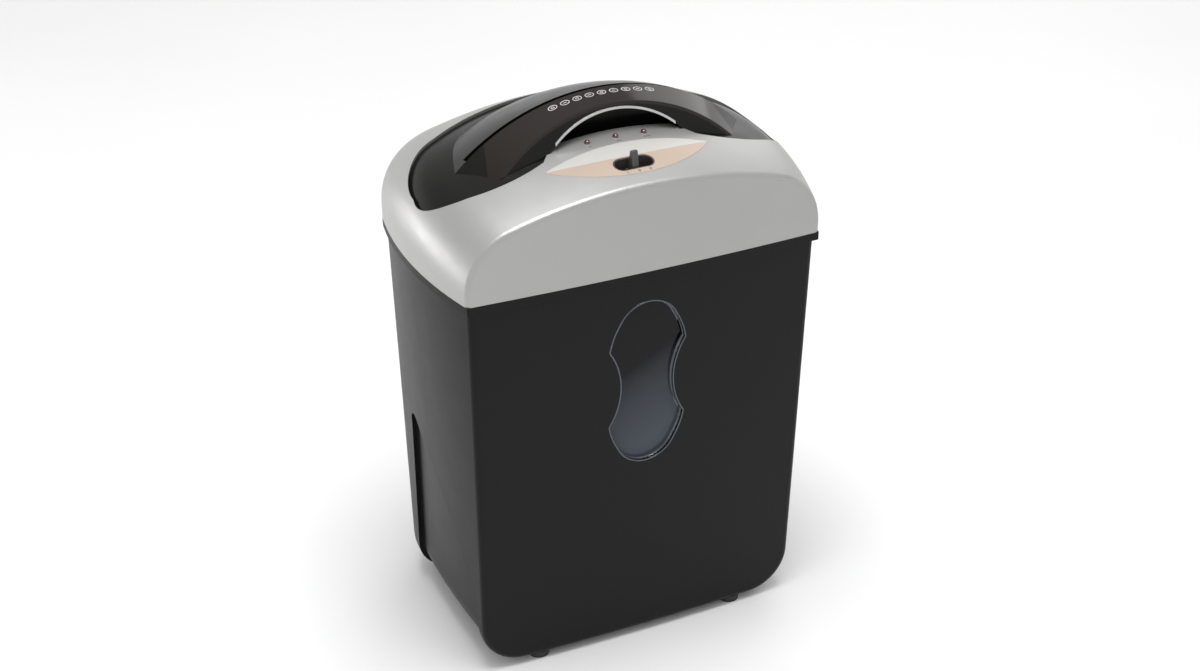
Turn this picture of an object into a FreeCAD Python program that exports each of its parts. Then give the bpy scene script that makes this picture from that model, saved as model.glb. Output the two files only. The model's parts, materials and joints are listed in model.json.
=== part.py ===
"""Desk-side cross-cut paper shredder: waste bin, lift-off head, cutting block, gear train and motor.

Millimetres.  The origin is on the floor under the middle of the machine.  +Z is up, the front faces -Y
and +X is the right-hand side for someone who stands in front of the machine.
"""
import FreeCAD, Part
import math
import os
from FreeCAD import Placement, Rotation, Vector

DOC = FreeCAD.newDocument("Shredder")
SHEET = DOC.addObject("Spreadsheet::Sheet", "Dims")

# Driving dimensions: alias, value in mm (angles in degrees, counts and gear modules as plain numbers).
DIMENSIONS = [
    # waste bin
    ("foot_height", 6.0), ("foot_radius", 9.0), ("foot_x", 92.0), ("foot_front_y", -92.0),
    ("foot_back_y", 78.0), ("bin_height", 344.0), ("bin_wall", 3.0), ("bin_top_half_front", 150.0),
    ("bin_top_half_max", 162.3), ("bin_low_half_front", 144.4), ("bin_low_half_max", 147.5),
    ("bin_front_y", -111.0), ("bin_back_y", 111.0), ("bin_lean", 6.0), ("front_bow", 4.0),
    ("widest_y", -14.0), ("bin_corner", 62.0), ("bin_low_corner", 55.0), ("bin_round", 37.0),
    ("bin_edge", 5.0), ("recess_depth", 4.0), ("recess_back_y", 30.0), ("recess_heel_y", 50.0), ("recess_top_z", 195.0),
    # window in the bin's front
    ("window_top_z", 328.0), ("window_cusp_half", 33.0), ("window_cusp_drop", 39.0),
    ("window_waist_half", 22.7), ("window_mid_z", 254.0), ("window_lobe_half", 24.5),
    ("window_lobe_drop", 16.0), ("window_set_back", 4.5), ("window_glass", 2.0), ("window_collar", 1.6),
    # head base and its rim
    ("rim_band", 7.0), ("rim_overhang", 3.0), ("base_plate", 3.0), ("skirt_depth", 12.0),
    ("skirt_wall", 2.5), ("skirt_gap", 1.5), ("outlet_half_x", 111.0), ("outlet_half_y", 27.0),
    # silver top cover
    ("cover_wall", 2.5), ("crown_apex", 98.5), ("crown_apex_y", -9.0), ("crown_radius_y", 333.0),
    ("crown_radius_x", 390.0), ("cover_corner", 65.0), ("shoulder", 55.0), ("front_soft", 5.0),
    ("opening_lap", 4.0), ("tongue_clear", 48.0), ("view_half", 98.0), ("lap_gap", 0.0),
    ("insert_wall", 2.5),
    # hump, guard and paper slot
    ("slot_front_y", -20.0), ("slot_gap", 6.0), ("slot_half_x", 115.0), ("guard_wall", 2.5), ("guard_back_half", 99.0), ("guard_front_half", 114.6),
    ("guard_gap", 0.0), ("brow_y", -48.0), ("brow_lean", 0.3), ("brow_radius", 143.3),
    ("brow_apex", 120.8), ("lip_radius", 178.5), ("lip_apex", 125.9), ("hump_foot", 52.0),
    ("hood_y", 12.0), ("hood_apex", 117.0), ("hood_half", 141.0),
    ("hood_mid_y", 42.0), ("hood_mid_apex", 104.0), ("hood_mid_half", 131.0),
    ("hood_end_y", 66.0), ("hood_end_apex", 88.0), ("hood_end_half", 106.0),
    # hand grip in the brow
    ("grip_radius", 79.7), ("grip_apex", 116.3), ("grip_half", 52.0), ("grip_floor", 92.0),
    ("grip_back_y", -28.0), ("trim_width", 1.9), ("trim_stand", 1.2),
    # control panel
    ("leaf_tip_x", 70.5), ("leaf_tip_y", -70.5), ("leaf_mid_y", -78.5), ("leaf_back_y", -60.0),
    ("leaf_front_y", -100.0), ("leaf_thick", 0.8), ("tongue_half", 52.0), ("tongue_y", -41.0),
    ("led_y", -50.5), ("led_pitch", 24.5), ("led_radius", 2.4), ("led_length", 13.0), ("pocket_x", -3.0),
    ("pocket_y", -87.0), ("pocket_length", 34.0), ("pocket_width", 15.0), ("pocket_depth", 9.0),
    ("knob_travel", 8.0), ("knob_width", 6.0), ("knob_fin", 18.0),
    # cutting block
    ("plate_x", 113.5), ("plate_wall", 2.5), ("plate_rise", 29.0), ("shaft_z", 386.0),
    ("shaft_mid_y", -17.0), ("shaft_spread", 32.0), ("shaft_radius", 8.0), ("core_radius", 11.0),
    ("disc_radius", 19.0), ("disc_pitch", 8.0), ("disc_wall", 3.6), ("disc_count", 27.0),
    ("bush_radius", 12.0), ("bush_length", 5.0), ("run_gap", 0.05), ("rod_radius", 4.0),
    ("screw_head", 2.4), ("comb_finger", 3.4),
    # gears
    ("sync_module", 2.0), ("sync_teeth", 16.0), ("gear_face", 8.0), ("final_module", 1.5),
    ("final_teeth", 40.0), ("final_pinion_teeth", 12.0), ("first_module", 1.0), ("first_teeth", 50.0),
    ("motor_pinion_teeth", 10.0), ("idler_drop", 4.0), ("idler_axle", 3.0), ("motor_shaft", 2.5),
    ("motor_y", 66.0),
    # motor
    ("motor_radius", 23.0), ("motor_length", 92.0), ("motor_cap", 12.0), ("fan_radius", 19.0),
    # safety interlock
    ("plunger_x", -138.0), ("plunger_y", 12.0), ("plunger_radius", 3.0), ("plunger_low_z", 336.3),
    ("plunger_high_z", 365.0), ("post_top_z", 336.0),
    # bosses and tabs that join cover, base and cutting block
    ("boss_front_x", 140.0), ("boss_front_y", -84.0), ("boss_back_x", 50.0), ("boss_back_y", 98.0),
    ("boss_radius", 4.5), ("tab_x", 122.0), ("tab_front_y", -42.0), ("tab_left_y", 5.0),
    ("tab_right_y", 76.0),
    # mains lead inlet
    ("gland_x", -70.0), ("gland_z", 370.0), ("gland_radius", 7.5),
    # paper sensor
    ("flag_pivot_y", -3.0), ("flag_pivot_z", 430.0), ("flag_width", 6.0),
]


def fill_sheet():
    """Write every driving dimension into the sheet as plain text with an alias."""
    for row, (alias, value) in enumerate(DIMENSIONS, start=1):
        SHEET.set(f"A{row}", alias)
        SHEET.set(f"B{row}", str(value))
        SHEET.setAlias(f"B{row}", alias)
    DOC.recompute()


def dim(alias):
    """The value of one cell of the sheet."""
    return float(SHEET.get(alias))


fill_sheet()

FOOT = dim("foot_height")
BIN_TOP = FOOT + dim("bin_height")
COVER_LOW = BIN_TOP + dim("rim_band")
RIM_FRONT = dim("bin_front_y") - dim("rim_overhang")
RIM_BACK = dim("bin_back_y") + dim("rim_overhang")
PLATE_TOP = BIN_TOP + dim("base_plate")
SHAFT_Z = dim("shaft_z")
FRONT_SHAFT_Y = dim("shaft_mid_y") - dim("shaft_spread") / 2
BACK_SHAFT_Y = dim("shaft_mid_y") + dim("shaft_spread") / 2
X_AXIS = Vector(1, 0, 0)
Y_AXIS = Vector(0, 1, 0)
Z_AXIS = Vector(0, 0, 1)

NODES = []


# ---------------------------------------------------------------- document helpers

def node(label, thing):
    """Register one finished sub-part under its own label."""
    thing.Label = label
    NODES.append(thing)
    return thing


def feature(label, shape):
    """A sub-part whose shape is built with Part's own functions."""
    thing = DOC.addObject("Part::Feature", label)
    thing.Shape = shape
    thing.Placement = shape.Placement
    return node(label, thing)


def bind(thing, **links):
    """Bind properties of a document object to expressions over the sheet."""
    for prop, expression in links.items():
        thing.setExpression(prop, expression)


def cylinder_x(name, radius, length, start, y, z):
    """A Part::Cylinder along +X; radius and length are expressions, start is where it begins."""
    rod = DOC.addObject("Part::Cylinder", name)
    bind(rod, Radius=radius, Height=length)
    rod.Placement = Placement(Vector(start, y, z), Rotation(Z_AXIS, X_AXIS))
    return rod


def cylinder_z(name, radius, length, base):
    """A Part::Cylinder along +Z standing on the point base."""
    rod = DOC.addObject("Part::Cylinder", name)
    bind(rod, Radius=radius, Height=length)
    rod.Placement = Placement(base, Rotation())
    return rod


def block(name, length, width, height, corner):
    """A Part::Box whose sizes are expressions, with its lowest corner at corner."""
    box = DOC.addObject("Part::Box", name)
    bind(box, Length=length, Width=width, Height=height)
    box.Placement = Placement(corner, Rotation())
    return box


def fused(name, parts):
    """A Part::MultiFuse of several document objects."""
    fuse = DOC.addObject("Part::MultiFuse", name)
    fuse.Shapes = parts
    return fuse


def cut(name, base, tool):
    """A Part::Cut of two document objects."""
    result = DOC.addObject("Part::Cut", name)
    result.Base = base
    result.Tool = tool
    return result


def box_shape(low, high):
    """A plain box solid between two corners."""
    return Part.makeBox(high[0] - low[0], high[1] - low[1], high[2] - low[2], Vector(*low))


def rod_shape(radius, start, end):
    """A round bar between two points."""
    axis = Vector(*end) - Vector(*start)
    return Part.makeCylinder(radius, axis.Length, Vector(*start), axis)


def arc(first, middle, last):
    """An arc edge through three points."""
    return Part.Arc(Vector(*first), Vector(*middle), Vector(*last)).toShape()


def line(first, last):
    """A straight edge."""
    return Part.LineSegment(Vector(*first), Vector(*last)).toShape()


# ---------------------------------------------------------------- plan outline and crown

def plan_wire(z, half_front, half_max, front_y, back_y, corner):
    """Closed D-shaped plan: bowed front, arched sides and two rounded back corners."""
    mid_y = dim("widest_y")
    bow = dim("front_bow")
    edge_y = front_y + bow
    reach = mid_y - edge_y
    swell = half_max - half_front
    side_r = (reach * reach + swell * swell) / (2 * swell)
    side_x = half_max - side_r
    corner_y = back_y - corner
    corner_x = side_x + math.sqrt((side_r - corner) ** 2 - (corner_y - mid_y) ** 2)
    turn = math.atan2(corner_y - mid_y, corner_x - side_x)
    join = (side_x + side_r * math.cos(turn), mid_y + side_r * math.sin(turn))
    half_turn = (turn + math.pi / 2) / 2
    bend = (corner_x + corner * math.cos(half_turn), corner_y + corner * math.sin(half_turn))
    edges = [
        arc((-half_front, edge_y, z), (0, front_y, z), (half_front, edge_y, z)),
        arc((half_front, edge_y, z), (half_max, mid_y, z), (join[0], join[1], z)),
        arc((join[0], join[1], z), (bend[0], bend[1], z), (corner_x, back_y, z)),
        line((corner_x, back_y, z), (-corner_x, back_y, z)),
        arc((-corner_x, back_y, z), (-bend[0], bend[1], z), (-join[0], join[1], z)),
        arc((-join[0], join[1], z), (-half_max, mid_y, z), (-half_front, edge_y, z)),
    ]
    return Part.Wire(edges)


def head_plan(z, inset):
    """The head's plan outline moved in by inset."""
    lap = dim("rim_overhang")
    return plan_wire(z, dim("bin_top_half_front") + lap - inset, dim("bin_top_half_max") + lap - inset,
                     RIM_FRONT + inset, RIM_BACK - inset, dim("cover_corner") - inset)


def prism(wire, height):
    """A solid standing on a closed flat wire."""
    return Part.Face(wire).extrude(Vector(0, 0, height))


def crown_solid(inset):
    """Barrel-shaped body whose upper skin is the cover's crown, moved in by inset."""
    radius_x = dim("crown_radius_x")
    radius_y = dim("crown_radius_y") - inset
    apex_z = BIN_TOP + dim("crown_apex") - inset
    axis_z = BIN_TOP + dim("crown_apex") - radius_x
    mid_y = dim("crown_apex_y")
    reach = 150.0
    sag = radius_y - math.sqrt(radius_y ** 2 - reach ** 2)
    low_y, high_y = mid_y - reach, mid_y + reach
    profile = Part.Wire([
        arc((0, low_y, apex_z - sag), (0, mid_y, apex_z), (0, high_y, apex_z - sag)),
        line((0, high_y, apex_z - sag), (0, high_y, axis_z)),
        line((0, high_y, axis_z), (0, low_y, axis_z)),
        line((0, low_y, axis_z), (0, low_y, apex_z - sag)),
    ])
    return Part.Face(profile).revolve(Vector(0, 0, axis_z), Y_AXIS, 360)


def top_edges(solid, low_z):
    """Edges of the crown's outline other than the front one, and then the front ones."""
    rear, front = [], []
    for edge in solid.Edges:
        box = edge.BoundBox
        if box.ZMax < low_z + 1:
            continue
        on_front = box.YMax < RIM_FRONT + dim("front_bow") + 8
        upright = box.ZMin < low_z + 1
        if on_front:
            front.append(edge)
        elif not upright:
            rear.append(edge)
    return rear, front


def cover_solid(inset):
    """The closed outer body of the silver cover, moved in by inset on every visible side."""
    low_z = COVER_LOW - (1.0 if inset else 0.0)
    tall = dim("crown_apex") + 20
    raw = prism(head_plan(low_z, inset), tall).common(crown_solid(inset))
    rear, front = top_edges(raw, low_z)
    rounded = raw.makeFillet(dim("shoulder") - inset, rear)
    rear, front = top_edges(rounded, low_z)
    soft = dim("front_soft") - inset
    return rounded.makeFillet(soft, front) if soft > 1 else rounded


# ---------------------------------------------------------------- waste bin

def bin_solid(inset, rounding, edge):
    """The bin's tapered body, moved in by inset; it is open at the top only after a cut."""
    low = plan_wire(FOOT + inset, dim("bin_low_half_front") - inset, dim("bin_low_half_max") - inset,
                    dim("bin_front_y") + dim("bin_lean") + inset, dim("bin_back_y") - dim("bin_lean") - inset,
                    dim("bin_low_corner") - inset)
    high = plan_wire(BIN_TOP, dim("bin_top_half_front") - inset, dim("bin_top_half_max") - inset,
                     dim("bin_front_y") + inset, dim("bin_back_y") - inset, dim("bin_corner") - inset)
    solid = Part.makeLoft([low, high], True, True)
    front_y = dim("bin_front_y") + dim("bin_lean") + dim("front_bow") + 1
    low_z = FOOT + inset + 0.5
    bottom = [e for e in solid.Edges if e.BoundBox.ZMax < low_z and e.BoundBox.YMax > front_y + inset]
    solid = solid.makeFillet(rounding, bottom)
    if not edge:
        return solid
    front = [e for e in solid.Edges
             if e.BoundBox.YMax < front_y + 1 and not e.BoundBox.ZMin > BIN_TOP - 1]
    return solid.makeFillet(edge, front)


def window_wire(y, grow):
    """Closed twin-lobed outline of the window in the plane y, grown by grow."""
    half = dim("window_cusp_half") + grow
    waist = dim("window_waist_half") + grow
    lobe_x = dim("window_lobe_half") + grow * 0.8
    lobe_z = dim("window_lobe_drop")
    top = dim("window_top_z") + grow
    middle = dim("window_mid_z")
    cusp = dim("window_top_z") - dim("window_cusp_drop")
    low = 2 * middle - top

    def point(x, z):
        return (x, y, z)

    edges = []
    for side in (1, -1):
        shoulder = point(side * (lobe_x + half) / 2 + side * 1.2, (top - lobe_z + cusp) / 2)
        foot = point(side * (lobe_x + half) / 2 + side * 1.2, 2 * middle - (top - lobe_z + cusp) / 2)
        run = [
            arc(point(side * lobe_x, top - lobe_z), shoulder, point(side * half, cusp)),
            arc(point(side * half, cusp), point(side * waist, middle), point(side * half, 2 * middle - cusp)),
            arc(point(side * half, 2 * middle - cusp), foot, point(side * lobe_x, 2 * middle - top + lobe_z)),
        ]
        edges.extend(run)
    edges.append(arc(point(-lobe_x, top - lobe_z), point(0, top), point(lobe_x, top - lobe_z)))
    edges.append(arc(point(-lobe_x, low + lobe_z), point(0, low), point(lobe_x, low + lobe_z)))
    return Part.Wire(Part.__sortEdges__(edges))


def window_prism(front, back, grow):
    """The window's outline run from y=front to y=back."""
    return Part.Face(window_wire(front, grow)).extrude(Vector(0, back - front, 0))


def recess_tool(side, outer):
    """What is milled from the bin's side: a fin-shaped patch recess_depth deep below the skin."""
    back_y = dim("recess_back_y")
    top_z = dim("recess_top_z")
    far = side * 200.0
    low_y = dim("bin_front_y") + 12
    heel_y = dim("recess_heel_y")
    edges = [
        line((far, heel_y, FOOT - 5), (far, back_y, top_z - 16)),
        arc((far, back_y, top_z - 16), (far, back_y - 5.5, top_z - 4), (far, back_y - 16, top_z - 5)),
        arc((far, back_y - 16, top_z - 5), (far, -58, 118), (far, low_y, FOOT - 5)),
        line((far, low_y, FOOT - 5), (far, heel_y, FOOT - 5)),
    ]
    patch = Part.Face(Part.Wire(edges)).extrude(Vector(-side * 120, 0, 0))
    core = bin_solid(dim("recess_depth"), dim("bin_round") - dim("recess_depth"), 0)
    floor = box_shape((-200, -200, -50), (200, 200, FOOT + dim("recess_depth") + 0.01))
    return outer.common(patch).cut(core).cut(floor)


def make_bin():
    """Bin shell with its window cut-out, collar, side recesses and interlock post."""
    wall = dim("bin_wall")
    outer = bin_solid(0, dim("bin_round"), dim("bin_edge"))
    for side in (1, -1):
        outer = outer.cut(recess_tool(side, outer))
    inner = bin_solid(wall + dim("recess_depth"), dim("bin_round") - wall - dim("recess_depth"), 0)
    upper_inner = bin_solid(wall, dim("bin_round") - wall, 0)
    upper = box_shape((-300, -300, dim("recess_top_z") + 4), (300, 300, 500))
    shell = outer.cut(inner).cut(upper_inner.common(upper))
    low_z = dim("window_mid_z") * 2 - dim("window_top_z")
    frame_y = dim("bin_front_y")
    collar = window_prism(frame_y + 1, frame_y + 14, dim("window_collar") + 1.5)
    collar = collar.common(bin_solid(1.5, dim("bin_round") - 1.5, 0))
    trimmed = collar.cut(bin_solid(10.5, dim("bin_round") - 10.5, 0))
    shell = shell.fuse(trimmed).cut(window_prism(frame_y - 10, frame_y + 30, 0))
    post = box_shape((-170, dim("plunger_y") - 5, low_z + 60), (dim("plunger_x") + 5, dim("plunger_y") + 5,
                                                               dim("post_top_z")))
    post = post.common(bin_solid(1.0, dim("bin_round") - 1, 0))
    edge_x, side_y = dim("plunger_x") + 6, dim("plunger_y") - 6
    corners = [(edge_x, dim("post_top_z") - 12), (-156, low_z + 60), (edge_x, low_z + 60),
               (edge_x, dim("post_top_z") - 12)]
    slope = Part.Face(Part.makePolygon([Vector(x, side_y, z) for x, z in corners])).extrude(Vector(0, 12, 0))
    return feature("bin_body", shell.fuse(post.cut(slope)).removeSplitter())


def make_window():
    """Clear lens behind the cut-out: its front is set back from the bin's skin."""
    back = dim("window_set_back")
    glass = dim("window_glass")
    inner = bin_solid(back + glass, dim("bin_round") - back - glass, 0)
    slab = bin_solid(back, dim("bin_round") - back, 0).cut(inner)
    outline = window_prism(dim("bin_front_y") - 5, dim("bin_front_y") + 20, -0.05)
    return feature("bin_window", slab.common(outline))


def make_feet():
    """Four rubber feet pressed into the bin's underside."""
    feet = []
    places = [(x, y) for x in (-1, 1) for y in (dim("foot_front_y"), dim("foot_back_y"))]
    for index, (side, y) in enumerate(places, start=1):
        base = Vector(side * dim("foot_x"), y, 0)
        foot = cylinder_z(f"Foot{index}", "Dims.foot_radius", "Dims.foot_height", base)
        feet.append(foot)
    return node("bin_feet", fused("Feet", feet))


# ---------------------------------------------------------------- head base and silver cover

def make_head_base():
    """Black base of the head: visible rim band, floor plate with paper outlet, and locating skirt."""
    wall = dim("bin_wall")
    band = prism(head_plan(BIN_TOP, 0), dim("rim_band"))
    well = prism(head_plan(PLATE_TOP, dim("rim_overhang")), dim("rim_band"))
    gap = wall + dim("skirt_gap")
    top_half = dim("bin_top_half_front")
    top_max = dim("bin_top_half_max")

    def skirt_plan(inset):
        return plan_wire(BIN_TOP - dim("skirt_depth"), top_half - inset, top_max - inset,
                         dim("bin_front_y") + inset, dim("bin_back_y") - inset, dim("bin_corner") - inset)

    skirt = prism(skirt_plan(gap), dim("skirt_depth") + 1)
    hollow = prism(skirt_plan(gap + dim("skirt_wall")), dim("skirt_depth"))
    base = band.cut(well).fuse(skirt.cut(hollow))
    outlet = box_shape((-dim("outlet_half_x"), dim("shaft_mid_y") - dim("outlet_half_y"), BIN_TOP - 20),
                       (dim("outlet_half_x"), dim("shaft_mid_y") + dim("outlet_half_y"), COVER_LOW + 20))
    guide_radius = dim("plunger_radius") + 2.5
    guide = rod_shape(guide_radius, (dim("plunger_x"), dim("plunger_y"), BIN_TOP - 8),
                      (dim("plunger_x"), dim("plunger_y"), PLATE_TOP))
    bore = rod_shape(dim("plunger_radius") + dim("run_gap"),
                     (dim("plunger_x"), dim("plunger_y"), BIN_TOP - 30),
                     (dim("plunger_x"), dim("plunger_y"), PLATE_TOP + 30))
    base = base.fuse(guide).cut(outlet).cut(bore)
    base = base.cut(Part.makeCompound(upright_bores(boss_places(), 1.7, BIN_TOP - 5, COVER_LOW + 5)))
    base = base.cut(Part.makeCompound(upright_bores(block_screw_places(), 2.1, BIN_TOP - 5, COVER_LOW + 5)))
    return feature("head_base", base.removeSplitter())


def opening_wire(z, grow):
    """Plan of the cover's opening: kidney shape whose front edge carries the control tongue."""
    tongue = dim("tongue_half") - grow
    tongue_y = dim("tongue_y") + grow
    notch = (66.0 - grow, -58.0 - grow, z)
    side = (156.0 + grow, -10.0, z)
    rear_y = 76.0 + grow
    right = [
        line((tongue, tongue_y, z), notch),
        arc(notch, (103.0, -64.5 - grow, z), (134.0 + grow, -57.5 - grow, z)),
        arc((134.0 + grow, -57.5 - grow, z), (149.5 + grow, -44.0 - grow * 0.6, z), side),
        arc(side, (145.0 + grow, 26.0 + grow * 0.4, z), (113.0 + grow * 0.5, 51.0 + grow * 0.8, z)),
        arc((113.0 + grow * 0.5, 51.0 + grow * 0.8, z), (62.0 + grow * 0.2, 69.5 + grow, z), (0, rear_y, z)),
    ]
    mirror = FreeCAD.Matrix()
    mirror.A11 = -1
    left = [edge.transformGeometry(mirror) for edge in right]
    tip = arc((-tongue, tongue_y, z), (0, tongue_y + 2.0, z), (tongue, tongue_y, z))
    return Part.Wire(Part.__sortEdges__(right + left + [tip]))


def opening_prism(grow):
    """The opening's outline as a tall solid."""
    return prism(opening_wire(BIN_TOP - 5, grow), 140)


def boss_places():
    """Plan positions of the four screw bosses that join cover and base."""
    front_x, front_y = dim("boss_front_x"), dim("boss_front_y")
    back_x, back_y = dim("boss_back_x"), dim("boss_back_y")
    return [(-front_x, front_y), (front_x, front_y), (-back_x, back_y), (back_x, back_y)]


def block_screw_places():
    """Plan positions of the four screws that hold the side plates' feet to the base."""
    x = dim("tab_x")
    front_y = dim("tab_front_y")
    return [(-x, front_y), (x, front_y), (-x, dim("tab_left_y")), (x, dim("tab_right_y"))]


def upright_bores(places, radius, low_z, high_z):
    """Round upright tools at several plan positions."""
    return [rod_shape(radius, (x, y, low_z), (x, y, high_z)) for x, y in places]


def make_cover(outer, inner):
    """Silver top cover: crowned shell with the kidney opening, control cut-outs and screw bosses."""
    shell = outer.cut(inner).cut(opening_prism(0))
    for x, y in boss_places():
        boss = rod_shape(dim("boss_radius"), (x, y, COVER_LOW), (x, y, COVER_LOW + 60)).common(inner)
        boss = boss.cut(rod_shape(1.6, (x, y, COVER_LOW - 1), (x, y, COVER_LOW + 14)))
        shell = shell.fuse(boss)
    for x in (-34.0, 34.0):
        y = dim("led_y") - 9
        shell = shell.fuse(rod_shape(2.5, (x, y, board_top()), (x, y, crown_height(x, y) - 1)))
    shell = shell.cut(gland_bore(dim("gland_radius") + 0.1))
    for x in led_places():
        shell = shell.cut(rod_shape(dim("led_radius") + 0.1, (x, dim("led_y"), BIN_TOP + 60),
                                    (x, dim("led_y"), BIN_TOP + 120)))
    shell = shell.cut(pocket_prism(0.1)).cut(leaf_prism(0.1).cut(crown_solid(dim("leaf_thick"))))
    return feature("top_cover", shell)


def led_places():
    """X of the three indicator lenses."""
    return [dim("led_pitch") * step - 1.0 for step in (-1, 0, 1)]


def stadium(x, y, z, length, width, height):
    """Solid with a stadium plan, long along X."""
    radius = width / 2
    reach = length / 2 - radius
    edges = [
        line((x - reach, y - radius, z), (x + reach, y - radius, z)),
        arc((x + reach, y - radius, z), (x + length / 2, y, z), (x + reach, y + radius, z)),
        line((x + reach, y + radius, z), (x - reach, y + radius, z)),
        arc((x - reach, y + radius, z), (x - length / 2, y, z), (x - reach, y - radius, z)),
    ]
    return prism(Part.Wire(edges), height)


def pocket_prism(grow):
    """Switch pocket's stadium outline as a tall solid."""
    return stadium(dim("pocket_x"), dim("pocket_y"), BIN_TOP + 60, dim("pocket_length") + 2 * grow,
                   dim("pocket_width") + 2 * grow, 60)


def leaf_edges(back, grow):
    """Outline of half of the leaf-shaped decoration between its straight spine and one bowed edge."""
    z = BIN_TOP + 40
    tip_x = dim("leaf_tip_x") + grow
    tip_y = dim("leaf_tip_y")
    far_y = dim("leaf_back_y") + grow if back else dim("leaf_front_y") - grow
    spine = arc((-tip_x, tip_y, z), (0, dim("leaf_mid_y"), z), (tip_x, tip_y, z))
    rim = arc((tip_x, tip_y, z), (0, far_y, z), (-tip_x, tip_y, z))
    return prism(Part.Wire([spine, rim]), 90)


def leaf_prism(grow):
    """Both halves of the leaf as one tall solid."""
    return leaf_edges(True, grow).fuse(leaf_edges(False, grow)).removeSplitter()


def make_leaf(name, back):
    """One half of the two-tone leaf inlay set flush into the cover's crown."""
    skin = crown_solid(0).cut(crown_solid(dim("leaf_thick")))
    return feature(name, skin.common(leaf_edges(back, 0)).cut(pocket_prism(0.1)))


# ---------------------------------------------------------------- hump, guard and grip

def brow_wire(drop, back):
    """Closed arch in the leaning plane of the guard's front edge, lowered by drop and moved back."""
    radius = dim("brow_radius") - drop
    centre_z = dim("brow_apex") - dim("brow_radius")
    foot = dim("hump_foot")

    def point(x, z):
        return (x, dim("brow_y") + back + dim("brow_lean") * (z - 100), BIN_TOP + z)

    half = math.sqrt(radius ** 2 - (foot - centre_z) ** 2)
    return Part.Wire([arc(point(-half, foot), point(0, centre_z + radius), point(half, foot)),
                      line(point(half, foot), point(-half, foot))])


def arch_wire(y, apex, half):
    """Upright arch in the plane y with its apex above BIN_TOP, closed along the hump's foot."""
    foot = BIN_TOP + dim("hump_foot")
    return Part.Wire([arc((-half, y, foot), (0, y, BIN_TOP + apex), (half, y, foot)),
                      line((half, y, foot), (-half, y, foot))])


def lip_half(drop):
    """Half span at the foot of the slot lip's arch, lowered by drop."""
    radius = dim("lip_radius") - drop
    rise = dim("hump_foot") - (dim("lip_apex") - dim("lip_radius"))
    return math.sqrt(radius ** 2 - rise ** 2)


def front_hump(drop, back=0.0):
    """Solid between the brow's arch, moved back, and the slot lip's arch."""
    lip = arch_wire(dim("slot_front_y"), dim("lip_apex") - drop, lip_half(drop))
    return Part.makeLoft([brow_wire(drop, back), lip], True, True)


def back_hump(drop):
    """Hood behind the slot lip, falling to the back of the opening."""
    sections = [(dim("slot_front_y"), dim("lip_apex"), lip_half(0)),
                (dim("hood_y"), dim("hood_apex"), dim("hood_half")),
                (dim("hood_mid_y"), dim("hood_mid_apex"), dim("hood_mid_half")),
                (dim("hood_end_y"), dim("hood_end_apex"), dim("hood_end_half"))]
    wires = [arch_wire(y, apex - drop, half - drop) for y, apex, half in sections]
    return Part.makeLoft(wires, True, False)


def slot_prism():
    """The paper slot as a tall box."""
    y = dim("slot_front_y")
    return box_shape((-dim("slot_half_x"), y, BIN_TOP + 40),
                     (dim("slot_half_x"), y + dim("slot_gap"), BIN_TOP + 140))


def grip_prism(drop):
    """Finger recess behind the trim's arch: a solid from before the brow to the recess's back wall."""
    radius = dim("grip_radius") - drop
    centre_z = dim("grip_apex") - dim("grip_radius")
    floor = dim("grip_floor") + drop
    half = math.sqrt(radius ** 2 - (floor - centre_z) ** 2)
    front_y = dim("brow_y") - 30
    wire = Part.Wire([arc((-half, front_y, BIN_TOP + floor), (0, front_y, BIN_TOP + centre_z + radius),
                          (half, front_y, BIN_TOP + floor)),
                      line((half, front_y, BIN_TOP + floor), (-half, front_y, BIN_TOP + floor))])
    return Part.Face(wire).extrude(Vector(0, dim("grip_back_y") - drop - front_y, 0))


def guard_zone():
    """Plan area that the smoked guard covers, as a tall solid; its ends run out towards the front."""
    back_y, front_y = dim("slot_front_y") + 1, dim("brow_y") - 26
    back_x, front_x = dim("guard_back_half"), dim("guard_front_half")
    corners = [(-back_x, back_y), (back_x, back_y), (front_x, front_y), (-front_x, front_y), (-back_x, back_y)]
    return prism(Part.makePolygon([Vector(x, y, BIN_TOP + 40) for x, y in corners]), 110)


def make_throat():
    """Black insert: sunken flange round the opening, hump with paper slot, guard seat and finger recess."""
    wall = dim("insert_wall")
    under = dim("cover_wall") + dim("lap_gap")
    lap = opening_prism(dim("opening_lap"))
    seat = dim("guard_wall") + dim("guard_gap")
    ends = front_hump(0).cut(guard_zone())
    slot = slot_prism()
    hood = back_hump(0).cut(front_block()).cut(slot)
    hump = front_hump(seat).fuse(ends).fuse(hood)
    hump_core = front_hump(seat + wall, wall).fuse(back_hump(wall).cut(front_block()))
    flange = cover_solid(under).common(lap).cut(slot)
    flange_core = cover_solid(under + wall)
    reach = box_shape((-200, -200, BIN_TOP + 45), (200, 200, BIN_TOP + 140))
    brow = box_shape((-70, dim("brow_y") - 12, BIN_TOP + 45), (70, dim("slot_front_y"), BIN_TOP + 140))
    tongue = brow.cut(opening_prism(0)).common(cover_solid(0))
    hump = hump.common(lap.fuse(brow)).cut(tongue)
    shell = flange.fuse(hump).common(reach).cut(flange_core.fuse(hump_core))
    window = box_shape((-dim("view_half"), dim("brow_y") + 12, BIN_TOP + 90),
                       (dim("view_half"), dim("slot_front_y") - 4, BIN_TOP + 140))
    pocket = grip_prism(-wall).common(hump).cut(grip_prism(0))
    shell = shell.cut(window).cut(grip_prism(0)).fuse(pocket)
    clear = dim("tongue_clear")
    board_room = box_shape((-clear, -90, BIN_TOP + 40), (clear, dim("led_y") + 3.5, BIN_TOP + 97))
    shell = shell.cut(board_room).removeSplitter()
    if len(shell.Solids) != 1 or shell.common(slot).Volume > 1:
        raise RuntimeError("the throat insert is not one piece with an open paper slot")
    return feature("throat_insert", shell)


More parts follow.
